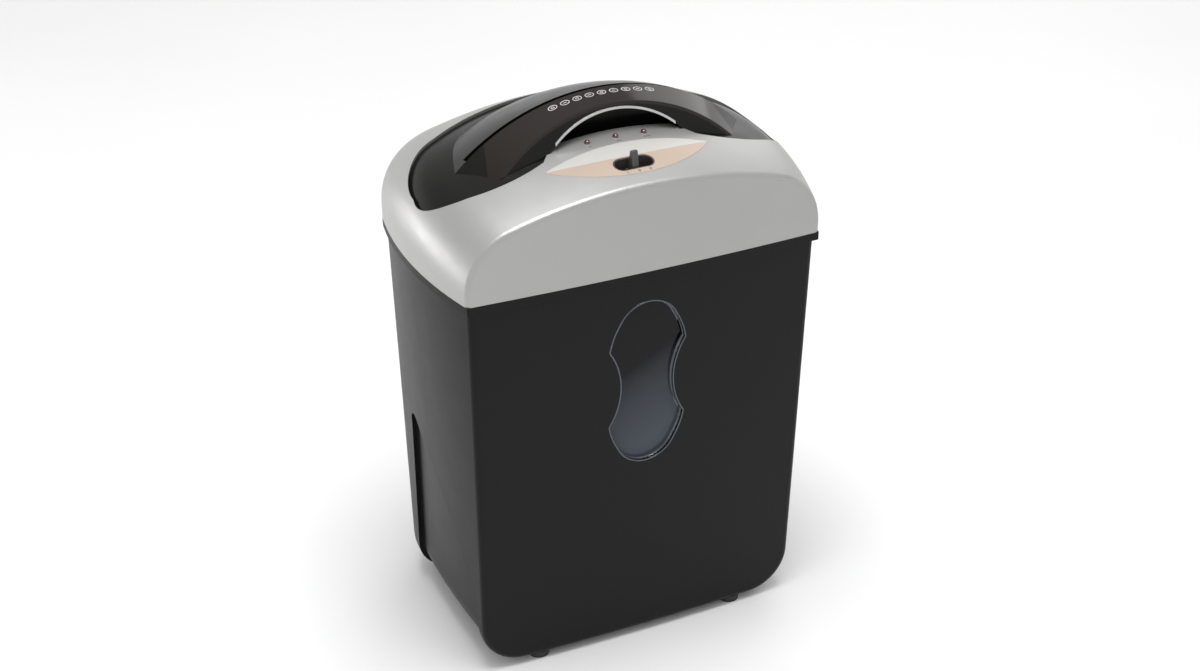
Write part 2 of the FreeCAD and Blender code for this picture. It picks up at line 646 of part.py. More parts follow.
def front_block():
    """Everything in front of the slot lip."""
    return box_shape((-300, -300, 300), (300, dim("slot_front_y"), 600))


def make_guard():
    """Smoked guard: a clear arched shell over the hump's front, from the brow to the slot lip."""
    shell = front_hump(0).cut(front_hump(dim("guard_wall"))).common(guard_zone())
    cover_skin = cover_solid(0).cut(opening_prism(0))
    shell = shell.cut(cover_solid(dim("cover_wall"))).cut(cover_skin)
    return feature("slot_guard", shell)


def make_grip_trim():
    """Bright arc that lines the finger recess's upper edge and stands proud of the brow."""
    radius = dim("grip_radius")
    centre_z = dim("grip_apex") - radius
    half = dim("grip_half")
    lift = dim("trim_stand")
    width = dim("trim_width")

    def band(reach):
        end_z = centre_z + math.sqrt(reach ** 2 - half ** 2)
        ends = [(side * half, -200.0, BIN_TOP + end_z) for side in (-1, 1)]
        return ends[0], (0, -200.0, BIN_TOP + centre_z + reach), ends[1]

    inner_l, inner_m, inner_r = band(radius - 0.4)
    outer_l, outer_m, outer_r = band(radius - 0.4 + width)
    face = Part.Face(Part.Wire([arc(inner_l, inner_m, inner_r), line(inner_r, outer_r),
                                arc(outer_r, outer_m, outer_l), line(outer_l, inner_l)]))
    strip = face.extrude(Vector(0, 400, 0))
    proud = front_hump(dim("guard_wall") + dim("guard_gap"))
    shifted = proud.copy()
    shifted.translate(Vector(0, -lift, 0))
    return feature("grip_trim", strip.common(shifted.cut(proud)))


def make_chute():
    """Entry chute that leads the sheet from the slot down to the cutters, notched for the sensor flag."""
    front = dim("slot_front_y")
    back = front + dim("slot_gap")
    half = dim("slot_half_x")
    low_z = SHAFT_Z + dim("plate_rise") + 1
    outer = box_shape((-half - 2, front - 2, low_z), (half + 2, back + 2, BIN_TOP + 140))
    hole = box_shape((-half, front, low_z - 1), (half, back, BIN_TOP + 141))
    front_room = front_hump(dim("guard_wall") + dim("guard_gap") + dim("insert_wall") + 9)
    back_room = back_hump(dim("insert_wall")).cut(front_block())
    notch = box_shape((-5, front - 3, low_z - 1), (5, back + 3, dim("flag_pivot_z") + 12))
    return feature("paper_chute", outer.cut(hole).common(front_room.fuse(back_room)).cut(notch))


# ---------------------------------------------------------------- control panel

def crown_height(x, y):
    """Height of the cover's crown above the point x, y."""
    drop = dim("crown_radius_y") - math.sqrt(dim("crown_radius_y") ** 2 - (y - dim("crown_apex_y")) ** 2)
    radius = dim("crown_radius_x") - drop
    return BIN_TOP + dim("crown_apex") - dim("crown_radius_x") + math.sqrt(radius ** 2 - x ** 2)


def make_leds():
    """Three indicator lenses: domed light pipes from the crown down to the indicator board."""
    for index, x in enumerate(led_places(), start=1):
        top = crown_height(x, dim("led_y"))
        stem = cylinder_z(f"LedStem{index}", "Dims.led_radius", "Dims.led_length",
                          Vector(x, dim("led_y"), top - dim("led_length")))
        dome = DOC.addObject("Part::Sphere", f"LedDome{index}")
        bind(dome, Radius="Dims.led_radius")
        dome.Placement = Placement(Vector(x, dim("led_y"), top), Rotation())
        node(f"led_lens_{index}", fused(f"Led{index}", [stem, dome]))


def board_top():
    """Height of the top of the indicator board, just under the lenses' stems."""
    return crown_height(0, dim("led_y")) - dim("led_length") - 0.9


def make_led_board():
    """Small circuit board that hangs from two posts of the cover under the control tongue."""
    board = block("LedBoard", "80", "17", "1.6", Vector(-40, dim("led_y") - 12, board_top() - 1.6))
    return node("indicator_board", board)


def switch_top():
    """Height of the bottom of the switch pocket."""
    return crown_height(dim("pocket_x"), dim("pocket_y")) - dim("pocket_depth")


def make_switch_bezel():
    """Cup that lines the switch pocket, with a slot in its floor for the knob's stem."""
    x, y = dim("pocket_x"), dim("pocket_y")
    floor_z = switch_top()
    cup = pocket_prism(0).common(box_shape((-100, -200, floor_z - 1.5), (100, 100, 600)))
    cup = cup.common(crown_solid(0.3))
    hollow = stadium(x, y, floor_z, dim("pocket_length") - 2.4, dim("pocket_width") - 2.4, 60)
    slot = stadium(x, y, floor_z - 10, 2 * dim("knob_travel") + 6, 4.4, 30)
    return feature("switch_bezel", cup.cut(hollow).cut(slot))


def make_knob():
    """Slide knob: a saddle on the pocket's floor, a tall finger fin and a stem into the switch."""
    x, y = dim("pocket_x"), dim("pocket_y")
    floor_z = switch_top() + 0.3
    width = dim("knob_width")
    saddle = stadium(x, y, floor_z, 14.5, 11.0, 2.2)
    fin_top = floor_z + dim("knob_fin")
    profile = Part.Wire([
        line((x, y - 5, floor_z + 1), (x, y + 5, floor_z + 1)),
        arc((x, y + 5, floor_z + 1), (x, y + 4.0, floor_z + 7), (x, y + 1.5, fin_top)),
        arc((x, y + 1.5, fin_top), (x, y, fin_top + 0.8), (x, y - 1.5, fin_top)),
        arc((x, y - 1.5, fin_top), (x, y - 4.0, floor_z + 7), (x, y - 5, floor_z + 1)),
    ])
    fin = Part.Face(profile).extrude(Vector(width, 0, 0))
    fin.translate(Vector(-width / 2, 0, 0))
    rims = [e for e in fin.Edges if e.BoundBox.XLength < 0.01 and e.BoundBox.ZMax > floor_z + 2]
    fin = fin.makeFillet(1.2, rims)
    stem = box_shape((x - 2, y - 1.8, floor_z - 6), (x + 2, y + 1.8, floor_z + 1))
    return feature("mode_knob", saddle.fuse(fin).fuse(stem).removeSplitter())


def make_mode_switch():
    """Three-position slide switch under the pocket: metal-cased body with a slot for the stem."""
    x, y = dim("pocket_x"), dim("pocket_y")
    top = switch_top() - 1.5
    case = box_shape((x - 17, y - 6.5, top - 13), (x + 17, y + 6.5, top))
    slot = box_shape((x - 2.6 - dim("knob_travel"), y - 2.4, top - 6),
                     (x + 2.6 + dim("knob_travel"), y + 2.4, top + 1))
    lugs = [box_shape((x + step - 0.8, y - 2, top - 18), (x + step + 0.8, y + 2, top - 13))
            for step in (-9, 0, 9)]
    return feature("mode_switch", case.cut(slot).multiFuse(lugs))


# ---------------------------------------------------------------- gears

def gear_shape(module, teeth, face, bore, start_x, y, z, turn):
    """Involute spur gear along +X; turn is the angle of one tooth's middle in the YZ plane, in degrees."""
    pitch_r = module * teeth / 2
    pressure = math.radians(20)
    base_r = pitch_r * math.cos(pressure)
    tip_r = pitch_r + module * 0.9
    root_r = pitch_r - module * 1.2
    backlash = 0.06 * module
    half_pitch = math.pi / (2 * teeth) - backlash / pitch_r
    involute = math.tan(pressure) - pressure

    def flank_angle(radius):
        roll = math.acos(min(1.0, base_r / radius))
        return half_pitch + involute - (math.tan(roll) - roll)

    start_r = max(base_r, root_r + 0.05)
    radii = [start_r + (tip_r - start_r) * step / 4 for step in range(5)]

    def at(radius, angle):
        return Vector(start_x, radius * math.cos(angle), radius * math.sin(angle))

    edges = []
    step_angle = 2 * math.pi / teeth
    for index in range(teeth):
        mid = math.radians(turn) + index * step_angle
        rising = [at(r, mid - flank_angle(r)) for r in radii]
        falling = [at(r, mid + flank_angle(r)) for r in reversed(radii)]
        root_in = at(root_r, mid - flank_angle(start_r))
        root_out = at(root_r, mid + flank_angle(start_r))
        next_in = at(root_r, mid + step_angle - flank_angle(start_r))
        curve_in, curve_out = Part.BSplineCurve(), Part.BSplineCurve()
        curve_in.interpolate(rising)
        curve_out.interpolate(falling)
        edges.extend([
            Part.LineSegment(root_in, rising[0]).toShape(),
            curve_in.toShape(),
            Part.Arc(rising[-1], at(tip_r, mid), falling[0]).toShape(),
            curve_out.toShape(),
            Part.LineSegment(falling[-1], root_out).toShape(),
            Part.Arc(root_out, at(root_r, mid + step_angle / 2), next_in).toShape(),
        ])
    wheel = Part.Face(Part.Wire(edges)).extrude(Vector(face, 0, 0))
    wheel.translate(Vector(0, y, z))
    return wheel.cut(rod_shape(bore, (start_x - 1, y, z), (start_x + face + 1, y, z)))


def toward(y_from, z_from, y_to, z_to):
    """Direction in degrees in the YZ plane from one axis to another."""
    return math.degrees(math.atan2(z_to - z_from, y_to - y_from))


def idler_axis():
    """Axis of the reduction gear, in mesh with the final gear on the back cutter shaft."""
    reach = dim("final_module") * (dim("final_teeth") + dim("final_pinion_teeth")) / 2
    drop = dim("idler_drop")
    return BACK_SHAFT_Y + math.sqrt(reach ** 2 - drop ** 2), SHAFT_Z - drop


def motor_axis():
    """Axis of the motor, in mesh with the reduction gear."""
    idler_y, idler_z = idler_axis()
    reach = dim("first_module") * (dim("first_teeth") + dim("motor_pinion_teeth")) / 2
    rise = math.sqrt(reach ** 2 - (dim("motor_y") - idler_y) ** 2)
    return dim("motor_y"), idler_z + rise


GEAR_X = dim("plate_x") + dim("plate_wall") + 5.5
FIRST_X = GEAR_X + dim("gear_face") + 3


def make_sync_gears():
    """Two equal gears on the left shaft ends that turn the cutter shafts against each other."""
    teeth = int(dim("sync_teeth"))
    start = -GEAR_X - dim("gear_face")
    front = gear_shape(dim("sync_module"), teeth, dim("gear_face"), dim("shaft_radius"), start,
                       FRONT_SHAFT_Y, SHAFT_Z, 0)
    back = gear_shape(dim("sync_module"), teeth, dim("gear_face"), dim("shaft_radius"), start,
                      BACK_SHAFT_Y, SHAFT_Z, 180 + 180 / teeth)
    feature("front_sync_gear", front)
    feature("back_sync_gear", back)


def make_final_gear():
    """Large final gear on the right end of the back cutter shaft."""
    idler_y, idler_z = idler_axis()
    teeth = int(dim("final_teeth"))
    lean = toward(BACK_SHAFT_Y, SHAFT_Z, idler_y, idler_z)
    wheel = gear_shape(dim("final_module"), teeth, dim("gear_face"), dim("shaft_radius"), GEAR_X,
                       BACK_SHAFT_Y, SHAFT_Z, lean)
    ring = rod_shape(25, (GEAR_X + 5.5, BACK_SHAFT_Y, SHAFT_Z), (GEAR_X + 20, BACK_SHAFT_Y, SHAFT_Z))
    hub = rod_shape(14, (GEAR_X, BACK_SHAFT_Y, SHAFT_Z), (GEAR_X + 30, BACK_SHAFT_Y, SHAFT_Z))
    return feature("final_gear", wheel.cut(ring.cut(hub)))


def make_reduction_gear():
    """Two-step reduction gear: a large wheel driven by the motor and a pinion that drives the final gear."""
    idler_y, idler_z = idler_axis()
    motor_y, motor_z = motor_axis()
    bore = dim("idler_axle") + dim("run_gap")
    small_teeth, large_teeth = int(dim("final_pinion_teeth")), int(dim("first_teeth"))
    back = toward(idler_y, idler_z, BACK_SHAFT_Y, SHAFT_Z)
    pinion = gear_shape(dim("final_module"), small_teeth, dim("gear_face") + 3, bore, GEAR_X,
                        idler_y, idler_z, back + 180 / small_teeth)
    ahead = toward(idler_y, idler_z, motor_y, motor_z)
    wheel = gear_shape(dim("first_module"), large_teeth, dim("gear_face") - 1, bore, FIRST_X,
                       idler_y, idler_z, ahead)
    return feature("reduction_gear", pinion.fuse(wheel).removeSplitter())


def make_motor_pinion():
    """Steel pinion pressed on the motor shaft."""
    idler_y, idler_z = idler_axis()
    motor_y, motor_z = motor_axis()
    teeth = int(dim("motor_pinion_teeth"))
    back = toward(motor_y, motor_z, idler_y, idler_z)
    pinion = gear_shape(dim("first_module"), teeth, dim("gear_face") - 1, dim("motor_shaft"),
                        FIRST_X, motor_y, motor_z, back + 180 / teeth)
    return feature("motor_pinion", pinion)


# ---------------------------------------------------------------- cutting block

def shaft_pair():
    """Name prefix, axis Y and disc offset of the two cutter shafts."""
    return [("front", FRONT_SHAFT_Y, 0.0), ("back", BACK_SHAFT_Y, dim("disc_pitch") / 2)]


def disc_places(offset):
    """Left face of every cutter disc along the shaft."""
    count = int(dim("disc_count"))
    first = -(count * dim("disc_pitch")) / 2 - dim("disc_wall") / 2 + dim("disc_pitch") / 4 + offset
    return [first + index * dim("disc_pitch") for index in range(count)]


def make_cutter_shafts():
    """Two steel cutter shafts with thick cores between the plates and journals at both ends."""
    inside = dim("plate_x") - 0.5
    for name, y, _ in shaft_pair():
        left = -(GEAR_X + dim("gear_face") + 1)
        right = GEAR_X + dim("gear_face") + 1 if name == "back" else dim("plate_x") + dim("plate_wall") + 3
        journal = cylinder_x(f"{name}Journal", "Dims.shaft_radius", str(right - left), left, y, SHAFT_Z)
        core = cylinder_x(f"{name}Core", "Dims.core_radius", str(2 * inside), -inside, y, SHAFT_Z)
        node(f"{name}_cutter_shaft", fused(f"{name}Shaft", [journal, core]))


def make_cutter_discs():
    """Toothed cutter discs of both shafts, each with three hooked notches turned step by step."""
    radius = dim("disc_radius")
    wall = dim("disc_wall")
    for name, y, offset in shaft_pair():
        discs = []
        for index, start in enumerate(disc_places(offset)):
            disc = rod_shape(radius, (start, y, SHAFT_Z), (start + wall, y, SHAFT_Z))
            for tooth in range(3):
                angle = math.radians(index * 24 + tooth * 120)
                reach = radius - 1.5
                notch = box_shape((start - 1, -1.6, -1.2), (start + wall + 1, 3.4, 3.0))
                notch.rotate(Vector(start, 0, 0), X_AXIS, math.degrees(angle) + 20)
                notch.translate(Vector(0, y + reach * math.cos(angle), SHAFT_Z + reach * math.sin(angle)))
                disc = disc.cut(notch)
            bore = rod_shape(dim("core_radius"), (start - 1, y, SHAFT_Z), (start + wall + 1, y, SHAFT_Z))
            discs.append(disc.cut(bore))
        feature(f"{name}_cutter_discs", Part.makeCompound(discs))


def make_combs():
    """Stripper combs outside the shafts: a bar whose fingers reach between the discs of its own shaft."""
    reach = dim("disc_radius") + 2.5
    finger = dim("comb_finger")
    for name, y, offset in shaft_pair():
        side = -1 if name == "front" else 1
        bar_low, bar_high = sorted((y + side * reach, y + side * (reach + 5)))
        bar = box_shape((-dim("plate_x"), bar_low, SHAFT_Z - 9), (dim("plate_x"), bar_high, SHAFT_Z + 9))
        tips = []
        tip_low, tip_high = sorted((y + side * (dim("core_radius") + 1.5), y + side * (reach + 1)))
        for start in disc_places(offset)[:-1]:
            left = start + dim("disc_wall") + (dim("disc_pitch") - dim("disc_wall") - finger) / 2
            tips.append(box_shape((left, tip_low, SHAFT_Z - 2.5), (left + finger, tip_high, SHAFT_Z + 2.5)))
        feature(f"{name}_stripper_comb", bar.multiFuse(tips))


def rod_places():
    """Axes of the four tie rods, clear of both discs."""
    low_z, high_z = SHAFT_Z - 28, SHAFT_Z + 21
    return [(FRONT_SHAFT_Y - 21, low_z), (BACK_SHAFT_Y + 21, low_z), (FRONT_SHAFT_Y - 14, high_z),
            (BACK_SHAFT_Y + 14, high_z)]


def plate_blank(x, points):
    """Flat side plate from its corner points in the YZ plane."""
    corners = [Vector(x, y, z) for y, z in points]
    return Part.Face(Part.makePolygon(corners + corners[:1])).extrude(Vector(dim("plate_wall"), 0, 0))


def make_side_plates():
    """Steel side plates of the cutting block; the right one also carries the motor and the idler axle."""
    front, back = -62.0, 28.0
    low, high = PLATE_TOP, SHAFT_Z + dim("plate_rise")
    motor_y, motor_z = motor_axis()
    left_points = [(front, low), (back, low), (back, high), (front, high)]
    tail = motor_y + 24
    right_points = [(front, low), (tail, low), (tail, motor_z + 8), (tail - 10, motor_z + 20), (back, high),
                    (front, high)]
    for name, x, points in (("left", -dim("plate_x") - dim("plate_wall"), left_points),
                            ("right", dim("plate_x"), right_points)):
        plate = plate_blank(x, points)
        for _, y, _ in shaft_pair():
            plate = plate.cut(rod_shape(dim("bush_radius"), (x - 5, y, SHAFT_Z), (x + 8, y, SHAFT_Z)))
        for y, z in rod_places():
            plate = plate.cut(rod_shape(2.5, (x - 5, y, z), (x + 8, y, z)))
        if name == "right":
            idler_y, idler_z = idler_axis()
            plate = plate.cut(rod_shape(9, (x - 5, motor_y, motor_z), (x + 8, motor_y, motor_z)))
            axle = rod_shape(dim("idler_axle"), (x - 5, idler_y, idler_z), (x + 8, idler_y, idler_z))
            plate = plate.cut(axle)
        for foot_x, foot_y in block_screw_places():
            if foot_x * x > 0:
                edge_x = x if foot_x > 0 else x + dim("plate_wall")
                low_x, high_x = sorted((edge_x, foot_x + math.copysign(6, foot_x)))
                tab = box_shape((low_x, foot_y - 7, low), (high_x, foot_y + 7, low + dim("plate_wall")))
                hole = rod_shape(2.1, (foot_x, foot_y, low - 1), (foot_x, foot_y, low + 5))
                plate = plate.fuse(tab.cut(hole))
        feature(f"{name}_side_plate", plate.removeSplitter())


def make_bushes():
    """Sintered bushes that carry the four shaft journals."""
    bore = dim("shaft_radius") + dim("run_gap")
    for side, name in ((-1, "left"), (1, "right")):
        rings = []
        for _, y, _ in shaft_pair():
            inner = side * (dim("plate_x") + 0.1)
            outer = side * (dim("plate_x") + dim("bush_length"))
            start, end = sorted((inner, outer))
            ring = rod_shape(dim("bush_radius"), (start, y, SHAFT_Z), (end, y, SHAFT_Z))
            rings.append(ring.cut(rod_shape(bore, (start - 1, y, SHAFT_Z), (end + 1, y, SHAFT_Z))))
        feature(f"{name}_bushes", Part.makeCompound(rings))


def make_tie_rods():
    """Four tie rods that space the side plates."""
    length = 2 * dim("plate_x")
    rods = [cylinder_x(f"TieRod{index}", "Dims.rod_radius", str(length), -dim("plate_x"), y, z)
            for index, (y, z) in enumerate(rod_places(), start=1)]
    return node("tie_rods", fused("TieRods", rods))


def make_plate_screws():
    """Pan-head screws through both side plates into the tie rods' ends."""
    screws = []
    for side in (-1, 1):
        face = side * (dim("plate_x") + dim("plate_wall"))
        for y, z in rod_places():
            screws.append(rod_shape(4.2, (face, y, z), (face + side * dim("screw_head"), y, z)))
    return feature("plate_screws", Part.makeCompound(screws))


def make_idler_axle():
    """Steel axle of the reduction gear between the right plate and the gear cover."""
    idler_y, idler_z = idler_axis()
    length = FIRST_X + dim("gear_face") - dim("plate_x") + 2
    axle = cylinder_x("IdlerAxle", "Dims.idler_axle", str(length), dim("plate_x"), idler_y, idler_z)
    return node("idler_axle", axle)


def make_gear_cover():
    """Stamped plate outside the gears that carries the axle's far end on two posts."""
    idler_y, idler_z = idler_axis()
    x = FIRST_X + dim("gear_face") + 0.5
    front, back = BACK_SHAFT_Y + 21, dim("motor_y") + 7
    post_places = [(front, PLATE_TOP + 4), (back - 5, idler_z - 10)]
    corners = [Vector(x, y, z) for y, z in ((front - 4, PLATE_TOP), (back, PLATE_TOP), (back, idler_z),
                                            (idler_y + 10, idler_z + 22), (front - 4, idler_z + 22))]
    plate = Part.Face(Part.makePolygon(corners + corners[:1])).extrude(Vector(1.5, 0, 0))
    plate = plate.cut(rod_shape(dim("idler_axle"), (x - 1, idler_y, idler_z), (x + 3, idler_y, idler_z)))
    face = dim("plate_x") + dim("plate_wall")
    starts = (face + dim("screw_head"), face)
    posts = [rod_shape(3, (start, y, z), (x, y, z)) for start, (y, z) in zip(starts, post_places)]
    return feature("gear_cover", plate.multiFuse(posts))


# ---------------------------------------------------------------- motor

def make_motor():
    """Motor: ribbed can, plastic end cap, shaft and cooling fan on the free end."""
    y, z = motor_axis()
    face_x = dim("plate_x")
    length = dim("motor_length")
    radius = dim("motor_radius")
    can = rod_shape(radius, (face_x - length, y, z), (face_x, y, z))
    hollow = rod_shape(radius - 1.5, (face_x - length - 1, y, z), (face_x - 1.5, y, z))
    nose = rod_shape(8.9, (face_x, y, z), (face_x + 4, y, z))
    bore = rod_shape(dim("motor_shaft") + dim("run_gap"), (face_x - 5, y, z), (face_x + 6, y, z))
    feature("motor_can", can.cut(hollow).fuse(nose).cut(bore))
    cap_x = face_x - length
    cap = rod_shape(radius, (cap_x - dim("motor_cap"), y, z), (cap_x, y, z))
    cap = cap.cut(rod_shape(dim("motor_shaft") + dim("run_gap"), (cap_x - 20, y, z), (cap_x + 1, y, z)))
    for turn in range(6):
        angle = math.radians(60 * turn)
        vent_y, vent_z = y + 16 * math.cos(angle), z + 16 * math.sin(angle)
        cap = cap.cut(rod_shape(3.2, (cap_x - 20, vent_y, vent_z), (cap_x + 1, vent_y, vent_z)))
    feature("motor_end_cap", cap)
    shaft_end = FIRST_X + dim("gear_face") - 0.5
    shaft_start = cap_x - dim("motor_cap") - 14
    shaft = cylinder_x("MotorShaft", "Dims.motor_shaft", str(shaft_end - shaft_start), shaft_start, y, z)
    rotor = cylinder_x("Rotor", "Dims.motor_radius - 6", str(length - 26), cap_x + 10, y, z)
    node("motor_rotor", fused("RotorShaft", [shaft, rotor]))
    fan_x = cap_x - dim("motor_cap") - 12
    fan = rod_shape(6, (fan_x, y, z), (fan_x + 9, y, z))
    for turn in range(8):
        blade = box_shape((fan_x, 0, -0.8), (fan_x + 8, dim("fan_radius"), 0.8))
        blade.rotate(Vector(fan_x, 0, 0), X_AXIS, 45 * turn)
        blade.translate(Vector(0, y, z))
        fan = fan.fuse(blade)
    feature("motor_fan", fan.cut(rod_shape(dim("motor_shaft"), (fan_x - 1, y, z), (fan_x + 20, y, z))))


# ---------------------------------------------------------------- safety interlock and paper sensor

def coil_spring(base, coil_radius, wire_radius, turns, length):
    """Closed helical compression spring standing on base along +Z."""
    helix = Part.makeHelix(length / turns, length, coil_radius)
    start = Part.Wire(Part.makeCircle(wire_radius, Vector(coil_radius, 0, 0), Y_AXIS))
    spring = Part.Wire(helix.Edges).makePipeShell([start], True, True)
    spring.translate(base + Vector(0, 0, wire_radius))
    return spring


def make_interlock():
    """Plunger that the bin's post lifts, its return spring, and the microswitch above it."""
    x, y = dim("plunger_x"), dim("plunger_y")
    collar_z = PLATE_TOP + 4.5
    collar_top = collar_z + 2
    stem = cylinder_z("PlungerStem", "Dims.plunger_radius", str(collar_top - dim("plunger_low_z")),
                      Vector(x, y, dim("plunger_low_z")))
    collar = cylinder_z("PlungerCollar", "Dims.plunger_radius + 2.5", "2", Vector(x, y, collar_z))
    nose = cylinder_z("PlungerNose", "1.8", str(dim("plunger_high_z") - collar_top), Vector(x, y, collar_top))
    node("interlock_plunger", fused("Plunger", [stem, collar, nose]))
    seat_z = dim("plunger_high_z") + 5
    spring = coil_spring(Vector(x, y, collar_top), 3.6, 0.45, 5, seat_z - collar_top - 0.9)
    feature("interlock_spring", spring)
    case = box_shape((x - 5, y - 10, seat_z), (x + 5, y + 10, seat_z + 16))
    leg = box_shape((x - 5, y + 7.5, PLATE_TOP), (x + 5, y + 10, seat_z))
    tabs = [box_shape((x - 1.5, y + step - 0.4, seat_z + 16), (x + 1.5, y + step + 0.4, seat_z + 22))
            for step in (-6, 0, 6)]
    feature("interlock_switch", case.fuse(leg).multiFuse(tabs))


def make_paper_flag():
    """Paper sensor: a sprung finger that a sheet pushes down, on a pin between two ears."""
    y, z = dim("flag_pivot_y"), dim("flag_pivot_z")
    half = dim("flag_width") / 2
    tip_y = dim("slot_front_y") + 1.0
    hub = rod_shape(3.2, (-half, y, z), (half, y, z))
    profile = [(y, z - 3), (tip_y, z - 9), (tip_y, z - 6.5), (y, z + 3), (y, z - 3)]
    arm = Part.Face(Part.makePolygon([Vector(-1.5, side_y, side_z) for side_y, side_z in profile]))
    arm = arm.extrude(Vector(3, 0, 0))
    vane = box_shape((-1.2, y, z - 3), (1.2, y + 12, z - 0.5))
    flag = hub.fuse(arm).fuse(vane).cut(rod_shape(1.5 + dim("run_gap"), (-10, y, z), (10, y, z)))
    feature("paper_flag", flag)
    pin = rod_shape(1.5, (-half - 5, y, z), (half + 5, y, z))
    feature("flag_pin", pin)
    back_wall = dim("slot_front_y") + dim("slot_gap") + 2
    ears = []
    for side in (-1, 1):
        low_x, high_x = sorted((side * (half + 0.6), side * (half + 4.6)))
        ear = box_shape((low_x, back_wall, z - 18.8), (high_x, back_wall + 3, z + 4))
        ear = ear.fuse(box_shape((low_x, back_wall, z - 5), (high_x, y + 4, z + 4)))
        ear = ear.fuse(box_shape((low_x, back_wall, z - 18.8), (high_x, y + 19, z - 17)))
        ears.append(ear.cut(rod_shape(1.5, (-20, y, z), (20, y, z))))
    feature("flag_bracket", Part.makeCompound(ears))
    opto = box_shape((-6, y + 13.5, z - 14), (6, y + 19, z - 3))
    shelf = box_shape((-6, y + 5, z - 17), (6, y + 19, z - 14))
    feature("paper_sensor", opto.fuse(shelf))


# ---------------------------------------------------------------- electrics and fasteners

def make_control_board():
    """Main circuit board on four stand-offs behind the cutting block."""
    low_x, high_x, low_y, high_y = -112.0, -18.0, 32.0, 90.0
    top = PLATE_TOP + 8
    board = box_shape((low_x, low_y, top - 1.6), (high_x, high_y, top))
    feature("control_board", board)
    legs = [rod_shape(3, (x, y, PLATE_TOP), (x, y, top - 1.6))
            for x in (low_x + 5, high_x - 5) for y in (low_y + 5, high_y - 5)]
    feature("board_stand_offs", Part.makeCompound(legs))
    feature("run_capacitor", rod_shape(10, (-104, 76, top + 10), (-64, 76, top + 10)))
    relays = [box_shape((x, 38, top), (x + 20, 53, top + 16)) for x in (-104, -78)]
    feature("relays", Part.makeCompound(relays))
    core = box_shape((-52, 44, top), (-24, 78, top + 28))
    coil = box_shape((-55, 50, top + 4), (-21, 72, top + 24))
    feature("transformer", core.fuse(coil))


def make_screws():
    """Four screws that come up through the base into the cover's bosses."""
    screws = []
    for index, (x, y) in enumerate(boss_places(), start=1):
        shank = cylinder_z(f"ScrewShank{index}", "1.6", "19", Vector(x, y, BIN_TOP))
        head = cylinder_z(f"ScrewHead{index}", "3.4", "2", Vector(x, y, BIN_TOP - 2))
        screws.append(fused(f"Screw{index}", [shank, head]))
    node("cover_screws", fused("Screws", screws))
    bolts = []
    for index, (x, y) in enumerate(block_screw_places(), start=1):
        shank = cylinder_z(f"BoltShank{index}", "2", "8", Vector(x, y, BIN_TOP))
        head = cylinder_z(f"BoltHead{index}", "4", "2.4", Vector(x, y, BIN_TOP - 2.4))
        nut = cylinder_z(f"BoltNut{index}", "3.8", "2.2", Vector(x, y, PLATE_TOP + dim("plate_wall")))
        bolts.append(fused(f"Bolt{index}", [shank, head, nut]))
    node("block_bolts", fused("Bolts", bolts))


def gland_bore(radius):
    """Round tool through the cover's back wall where the mains lead enters."""
    x, z = dim("gland_x"), dim("gland_z")
    return rod_shape(radius, (x, RIM_BACK - 12, z), (x, RIM_BACK + 5, z))


def make_gland():
    """Rubber grommet in the cover's back wall, flush with its skin, where the mains lead enters."""
    x, z = dim("gland_x"), dim("gland_z")
    ring = rod_shape(dim("gland_radius"), (x, RIM_BACK - 9, z), (x, RIM_BACK - 0.2, z))
    inside_y = RIM_BACK - dim("cover_wall") - 0.1
    flange = rod_shape(dim("gland_radius") + 2, (x, RIM_BACK - 6, z), (x, inside_y, z))
    return feature("cord_gland", ring.fuse(flange).cut(gland_bore(3.7)))


def check_and_write():
    """Stop on any failed object, then write every sub-part to its own file."""
    DOC.recompute()
    for thing in DOC.Objects:
        if "Invalid" in thing.State or "Error" in thing.State:
            raise RuntimeError(f"{thing.Name} failed: {thing.State}")
    os.makedirs("parts", exist_ok=True)
    for thing in NODES:
        shape = thing.Shape
        if shape.isNull() or not shape.isValid():
            raise RuntimeError(f"{thing.Label} has no valid shape")
        shape.exportStep(f"parts/{thing.Label}.step")
        print(f"{thing.Label}: {len(shape.Solids)} solid(s), {shape.Volume / 1000:.1f} cm3")


def build():
    """Make every sub-part."""
    make_bin()
    make_window()
    make_feet()
    make_head_base()
    make_cover(cover_solid(0), cover_solid(dim("cover_wall")))
    make_throat()
    make_guard()
    make_grip_trim()
    make_chute()
    make_leaf("leaf_upper", True)
    make_leaf("leaf_lower", False)
    make_leds()
    make_led_board()
    make_switch_bezel()
    make_knob()
    make_mode_switch()
    make_side_plates()
    make_bushes()
    make_tie_rods()
    make_plate_screws()
    make_cutter_shafts()
    make_cutter_discs()
    make_combs()
    make_sync_gears()
    make_final_gear()
    make_reduction_gear()
    make_idler_axle()
    make_gear_cover()
    make_motor()
    make_motor_pinion()
    make_interlock()
    make_paper_flag()
    make_control_board()
    make_screws()
    make_gland()


build()
check_and_write()
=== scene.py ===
"""Desk-side paper shredder: surfaces, small printed marks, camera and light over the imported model."""
import json
import math
import bpy
import bmesh
from mathutils import Matrix, Vector
from mathutils.bvhtree import BVHTree


